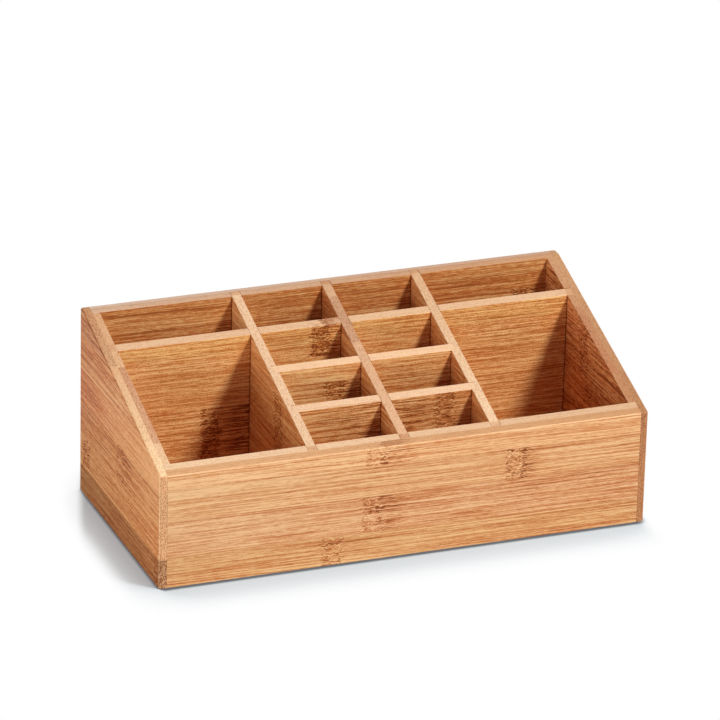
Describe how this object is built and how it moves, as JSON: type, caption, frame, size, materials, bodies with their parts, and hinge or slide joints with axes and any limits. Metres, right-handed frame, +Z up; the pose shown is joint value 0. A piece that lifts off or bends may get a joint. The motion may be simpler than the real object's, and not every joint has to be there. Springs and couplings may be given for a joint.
{
  "type": "desktop organizer",
  "caption": "Open bamboo organizer with a sloping top, divided by housed and halved boards into large, small and long compartments.",
  "frame": {"origin": "middle of the footprint, on the table", "axes": "+X to the right along the front, +Y to the high back, +Z up"},
  "size_m": [0.31, 0.15, 0.12],
  "materials": {
    "wall_boards": "caramel bamboo, flat-laid staves with visible joints of the culm, clear matt lacquer",
    "divider_boards": "caramel bamboo, thin edge-glued boards, clear matt lacquer",
    "floor_board": "caramel bamboo, thin laminated board, clear matt lacquer"
  },
  "bodies": {
    "root": {"left_side": "wall_boards", "right_side": "wall_boards", "front_panel": "wall_boards", "back_panel": "wall_boards", "base_panel": "floor_board", "left_divider": "divider_boards", "centre_divider": "divider_boards", "right_divider": "divider_boards", "rear_cross_divider": "divider_boards", "middle_cross_divider": "divider_boards", "front_cross_divider": "divider_boards"}
  },
  "joints": []
}
